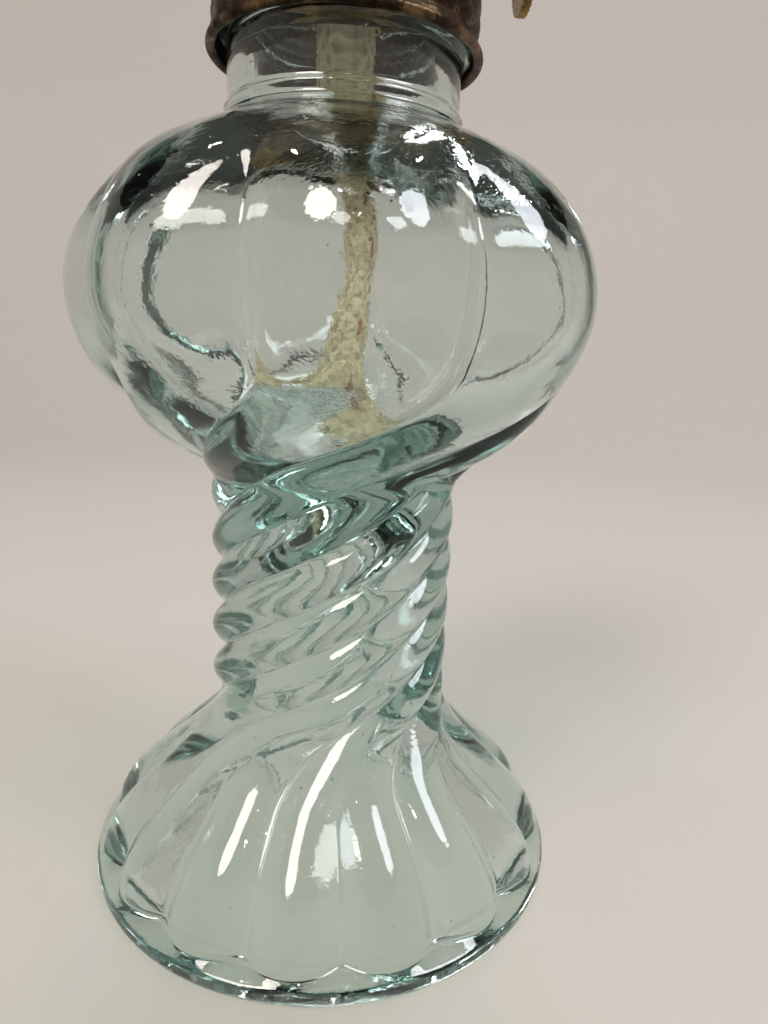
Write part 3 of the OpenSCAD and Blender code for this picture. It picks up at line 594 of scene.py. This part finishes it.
def makeCap(c, material):
    # half outline of the sheet, closed on itself: under the top, down the inside, round the bead, up the outside
    outR = c["inR"] + c["sheetT"]
    a = np.radians(np.linspace(0, 90, 6))
    inner = [(r, c["underZ"]) for r in np.linspace(c["holeR"], c["inR"] - c["cornerR"], 7)[:-1]]
    inner += list(zip(c["inR"] - c["cornerR"] + c["cornerR"] * np.sin(a), c["underZ"] - c["cornerR"] + c["cornerR"] * np.cos(a)))
    inner += [(c["inR"], z) for z in np.linspace(c["underZ"] - c["cornerR"] - 0.4, c["rimZ"] + 1.3, 30)]
    b = np.radians(np.linspace(140, 395, 18))
    bead = list(zip(outR + c["beadR"] * np.cos(b), c["rimZ"] + c["beadR"] * np.sin(b)))
    outer = [(outR, z) for z in np.linspace(c["rimZ"] + 1.15, c["underZ"] + c["sheetT"] - c["cornerR"] - 0.7, 30)]
    cornerR = c["cornerR"] + c["sheetT"]
    outer += list(zip(outR - cornerR + cornerR * np.cos(a), c["underZ"] + c["sheetT"] - cornerR + cornerR * np.sin(a)))
    outer += [(r, c["underZ"] + c["sheetT"]) for r in np.linspace(outR - cornerR, c["holeR"], 8)[1:]]
    outline = np.array(inner + bead + outer)
    isInner = (np.arange(len(outline)) < len(inner))[:, None]
    r, z = outline[:, :1], outline[:, 1:]
    angle = (np.arange(c["columns"]) * 2 * np.pi / c["columns"])[None, :]
    rows = np.broadcast_to(z, (len(outline), c["columns"]))
    sink = capThread(c, angle, rows) * c["threadDepth"]
    skirt = (np.abs(r - c["inR"]) < 1e-6) | (np.abs(r - outR) < 1e-6)
    rolled = 0.16 * np.sin((rows - c["rimZ"]) * 2 * np.pi / 3.4)       # faint spun rings
    radius = r - skirt * np.where(isInner, sink, c["outsideShare"] * sink + 0.1 + rolled * 0.6)
    points = around(radius, np.broadcast_to(angle, rows.shape), rows).reshape(-1, 3)
    return makePiece("screwCap", points, gridQuads(len(outline), c["columns"], closed=True), [],
                     material, "burner", ["screw_cap"])


# Old bronzed brass: brown oxide over the yellow metal, rubbed on the edges, dull with some shine left
bronzeLook = dict(deep="#1F1712", brown="#3C2D22", rubbed="#7A6247", blotch=6.0, speck=0.7, roughLow=0.34, roughHigh=0.62)


def makeAgedMetal(name, c):
    material, tree = startMaterial(name)
    place = addNode(tree, "TexCoord").outputs["Object"]
    blotch = addNode(tree, "TexNoise", {"Scale": perMetre(c["blotch"]), "Detail": 6.0, "Roughness": 0.62}, {"Vector": place})
    speck = addNode(tree, "TexNoise", {"Scale": perMetre(c["speck"]), "Detail": 3.0}, {"Vector": place})
    level = addNode(tree, "Math", {"operation": "MULTIPLY_ADD", 1: 0.35}, {0: speck.outputs["Fac"], 2: blotch.outputs["Fac"]})
    colour = addNode(tree, "ValToRGB", {"stops": [(0.50, c["deep"]), (0.66, c["brown"]), (0.86, c["rubbed"])]},
                     {"Fac": level.outputs[0]})
    rough = addNode(tree, "MapRange", {"From Min": 0.45, "From Max": 0.9, "To Min": c["roughHigh"], "To Max": c["roughLow"]},
                    {"Value": level.outputs[0]})
    bump = addNode(tree, "Bump", {"Distance": 0.03 * mm, "Strength": 0.7}, {"Height": speck.outputs["Fac"]})
    metal = addNode(tree, "BsdfPrincipled", {"Metallic": 1.0},
                    {"Base Color": colour.outputs["Color"], "Roughness": rough.outputs[0], "Normal": bump.outputs["Normal"]})
    addNode(tree, "OutputMaterial", None, {"Surface": metal.outputs[0]})
    return material


tarnishedBronze = makeAgedMetal("tarnishedBronze", bronzeLook)
makeCap(capForm, tarnishedBronze)
print("screw cap made")


# Blown clear glass chimney, open at both ends
chimneyForm = dict(footZ=207.4, footR=26.0, wall=1.8, footH=20.0, bulgeR=36.0, bulgeUp=44.0, flueR=20.0,
                   height=165.0, columns=160, seed=21, wave=0.10)


def chimneyRadius(c, z):
    # straight foot, eased out to the bulge, a long eased taper, straight flue
    out = mixed(c["footR"], c["bulgeR"], smoothStep((z - c["footH"]) / (c["bulgeUp"] - c["footH"])))
    taper = mixed(c["bulgeR"], c["flueR"], smoothStep((z - c["bulgeUp"]) / (c["height"] - 55 - c["bulgeUp"])))
    return np.where(z < c["bulgeUp"], out, taper)


def makeChimney(c, material):
    # the outline goes up the outside, over the rounded top, down the inside and round the foot
    a = np.radians(np.linspace(0, 180, 9))
    half = c["wall"] / 2
    up = np.concatenate([np.linspace(half, c["footH"], 14)[:-1], np.linspace(c["footH"], c["height"] - 55, 76)[:-1],
                         np.linspace(c["height"] - 55, c["height"] - half, 26)])
    top = np.stack([c["flueR"] - half + half * np.cos(a[1:-1]), c["height"] - half + half * np.sin(a[1:-1])], axis=1)
    foot = np.stack([c["footR"] - half - half * np.cos(a[1:-1]), half - half * np.sin(a[1:-1])], axis=1)
    outline = np.concatenate([np.stack([chimneyRadius(c, up), up], axis=1), top,
                              np.stack([chimneyRadius(c, up[::-1]) - c["wall"], up[::-1]], axis=1), foot])
    rng = np.random.default_rng(c["seed"])
    r, z = outline[:, :1], np.broadcast_to(outline[:, 1:], (len(outline), c["columns"]))
    angle = np.broadcast_to((np.arange(c["columns"]) * 2 * np.pi / c["columns"])[None, :], z.shape)
    soft = np.clip((z - 4) / 12, 0, 1) * np.clip((c["height"] - z) / 12, 0, 1)
    radius = r + c["wave"] * soft * (slowWaves(angle, z, rng, 7, 3, 26.0) - 1.2)
    points = around(radius, angle, z + c["footZ"]).reshape(-1, 3)
    return makePiece("chimneyGlass", points, gridQuads(len(outline), c["columns"], closed=True), [],
                     material, "chimney", ["chimney"])


# Blown lamp glass: colourless with a cool edge, very smooth
chimneyLook = dict(ior=1.47, roughness=0.01, absorbed=(0.55, 0.80, 0.76, 1.0), density=14.0, shade="#F0F4F3")


def makeChimneyGlass(c):
    material, tree = startMaterial("blownClearGlass")
    place = addNode(tree, "TexCoord").outputs["Object"]
    ripple = addNode(tree, "TexNoise", {"Scale": perMetre(14.0), "Detail": 1.0}, {"Vector": place})
    bump = addNode(tree, "Bump", {"Distance": 0.08 * mm, "Strength": 1.0}, {"Height": ripple.outputs["Fac"]})
    glass = addNode(tree, "BsdfPrincipled", {"Base Color": (1, 1, 1, 1), "Roughness": c["roughness"], "IOR": c["ior"],
                                             "Transmission Weight": 1.0}, {"Normal": bump.outputs["Normal"]})
    clear = addNode(tree, "BsdfTransparent", {"Color": linearColour(c["shade"])})
    path = addNode(tree, "LightPath")
    soft = addNode(tree, "Math", {"operation": "MAXIMUM"},
                   {0: path.outputs["Is Shadow Ray"], 1: path.outputs["Is Diffuse Ray"]})
    both = addNode(tree, "MixShader", None, {0: soft.outputs[0], 1: glass.outputs[0], 2: clear.outputs[0]})
    volume = addNode(tree, "VolumeAbsorption", {"Color": c["absorbed"], "Density": c["density"]})
    addNode(tree, "OutputMaterial", None, {"Surface": both.outputs[0], "Volume": volume.outputs[0]})
    return material


blownClearGlass = makeChimneyGlass(chimneyLook)
makeChimney(chimneyForm, blownClearGlass)
print("chimney made")


# Burner: stamped brass sheet gone brown in its corners, dull steel shaft and wheels, pressed cork
brassLook = dict(deep="#3A2D1B", brown="#80683C", rubbed="#B0935A", blotch=9.0, speck=0.5, roughLow=0.26, roughHigh=0.5)
steelLook = dict(deep="#3C3A37", brown="#6E6B66", rubbed="#8E8B86", blotch=4.0, speck=0.4, roughLow=0.3, roughHigh=0.5)


def makeCork():
    # pressed cork: pale brown grains of a millimetre or two with dark seams, matt
    material, tree = startMaterial("pressedCork")
    place = addNode(tree, "TexCoord").outputs["Object"]
    grains = addNode(tree, "TexVoronoi", {"Scale": perMetre(1.6)}, {"Vector": place})
    speck = addNode(tree, "TexNoise", {"Scale": perMetre(0.6), "Detail": 3.0}, {"Vector": place})
    level = addNode(tree, "Math", {"operation": "ADD"}, {0: grains.outputs["Distance"], 1: speck.outputs["Fac"]})
    colour = addNode(tree, "ValToRGB", {"stops": [(0.45, "#A07B52"), (0.8, "#8A6441"), (1.0, "#4E3622")]},
                     {"Fac": level.outputs[0]})
    bump = addNode(tree, "Bump", {"Distance": 0.1 * mm, "Strength": 0.6}, {"Height": level.outputs[0]})
    cork = addNode(tree, "BsdfPrincipled", {"Roughness": 0.85},
                   {"Base Color": colour.outputs["Color"], "Normal": bump.outputs["Normal"]})
    addNode(tree, "OutputMaterial", None, {"Surface": cork.outputs[0]})
    return material


def dressNodes(names, material):
    for name in names:
        for place in nodes[name].material_slots:
            place.material = material


wornBrass = makeAgedMetal("wornBrass", brassLook)
dullSteel = makeAgedMetal("dullSteel", steelLook)
pressedCork = makeCork()
dressNodes(["deck_plate", "wick_tube", "vent_tube", "raiser_housing", "shaft_bush", "air_basket", "inner_strainer",
            "gallery_ring", "prong_front", "prong_right", "prong_back", "prong_left", "prong_rivets",
            "flame_spreader", "thumb_wheel"], wornBrass)
dressNodes(["raiser_shaft", "spur_wheel_left", "spur_wheel_right"], dullSteel)
dressNodes(["neck_seal"], pressedCork)
print("burner dressed")


# Stage: a round pale sweep, so that every side has the same plain ground
stageForm = dict(floorR=0.70, bendR=0.60, wallTop=1.0, floorZ=-0.0003, floorColour="#B3AFA9", wallColour="#BEB9B4")


def makeStage(s):
    a = np.linspace(0, math.pi / 2, 16)
    r = np.concatenate([[0.02], np.linspace(0.1, s["floorR"], 10), s["floorR"] + s["bendR"] * np.sin(a[1:]),
                        np.full(4, s["floorR"] + s["bendR"])])
    z = np.concatenate([np.zeros(11), s["bendR"] * (1 - np.cos(a[1:])), np.linspace(s["bendR"] + 0.1, s["wallTop"], 4)])
    angle = np.broadcast_to((np.arange(128) * 2 * np.pi / 128)[None, :], (len(r), 128))
    points = around(r[:, None], angle, z[:, None] + s["floorZ"])
    points = np.concatenate([points.reshape(-1, 3), [[0, 0, s["floorZ"]]]])
    quads = gridQuads(len(r), 128)[:, ::-1]
    j = np.arange(128)
    fan = np.stack([np.full(128, len(points) - 1), j, (j + 1) % 128], axis=1)
    mesh = bpy.data.meshes.new("sweep")
    mesh.from_pydata(points.tolist(), [], quads.tolist() + fan.tolist())
    mesh.polygons.foreach_set("use_smooth", np.ones(len(mesh.polygons), bool))
    sweep = bpy.data.objects.new("sweep", mesh)
    scene.collection.objects.link(sweep)
    # matt painted plaster, a little darker on the floor than on the wall
    material, tree = startMaterial("mattPlaster")
    place = addNode(tree, "TexCoord").outputs["Object"]
    height = addNode(tree, "SeparateXYZ", None, {0: place})
    colour = addNode(tree, "ValToRGB", {"stops": [(0.0, s["floorColour"]), (0.45, s["wallColour"])]},
                     {"Fac": height.outputs["Z"]})
    plaster = addNode(tree, "BsdfPrincipled", {"Roughness": 0.9}, {"Base Color": colour.outputs["Color"]})
    addNode(tree, "OutputMaterial", None, {"Surface": plaster.outputs[0]})
    mesh.materials.append(material)


def makeWorld(dark, pale):
    # dim ceiling for the object, pale where the camera looks over the sweep's edge
    world = bpy.data.worlds.new("room")
    world.use_nodes = True
    tree = world.node_tree
    tree.nodes.clear()
    path = addNode(tree, "LightPath")
    colour = addNode(tree, "Mix", {"data_type": "RGBA", 6: linearColour(dark), 7: linearColour(pale)},
                     {0: path.outputs["Is Camera Ray"]})
    ground = addNode(tree, "Background", {"Strength": 1.0}, {"Color": colour.outputs[2]})
    addNode(tree, "OutputWorld", None, {"Surface": ground.outputs[0]})
    scene.world = world


# name, place, size in metres, watts, colour; all look at the lamp's middle
lampList = [
    ("softLeft", (-0.60, -0.70, 1.25), 0.55, 13.5, "#FFF6EE"),
    ("softRight", (0.80, -0.35, 1.15), 0.50, 8.5, "#F4F8FF"),
    ("softBack", (0.20, 0.75, 1.30), 0.60, 8.5, "#FFFFFF"),
    ("spotA", (-0.25, -0.60, 1.45), 0.035, 1.0, "#FFF4E8"),
    ("spotB", (0.35, -0.45, 1.45), 0.035, 1.0, "#FFF4E8"),
    ("spotC", (-0.55, 0.10, 1.45), 0.035, 1.0, "#FFF4E8"),
    ("spotD", (0.60, 0.30, 1.45), 0.035, 1.0, "#FFF4E8"),
    ("spotE", (0.05, -0.95, 1.20), 0.035, 0.8, "#FFF4E8"),
]


def makeLamps(lamps):
    for name, place, size, watts, colour in lamps:
        data = bpy.data.lights.new(name, "AREA")
        data.shape, data.size, data.energy = "DISK", size, watts
        data.color = linearColour(colour)[:3]
        lamp = bpy.data.objects.new(name, data)
        lamp.location = place
        away = np.array(place) - np.array([0, 0, 0.12])
        lamp.rotation_euler = (math.acos(away[2] / np.linalg.norm(away)), 0, math.atan2(away[1], away[0]) + math.pi / 2)
        scene.collection.objects.link(lamp)


makeStage(stageForm)
makeWorld("#33322F", "#BEB9B4")
makeLamps(lampList)
scene.view_settings.view_transform = "Standard"
scene.cycles.max_bounces = 24
scene.cycles.transmission_bounces = 24
scene.cycles.transparent_max_bounces = 24
scene.cycles.glossy_bounces = 8
scene.cycles.caustics_reflective = False
scene.cycles.caustics_refractive = False
print("stage and lamps made")
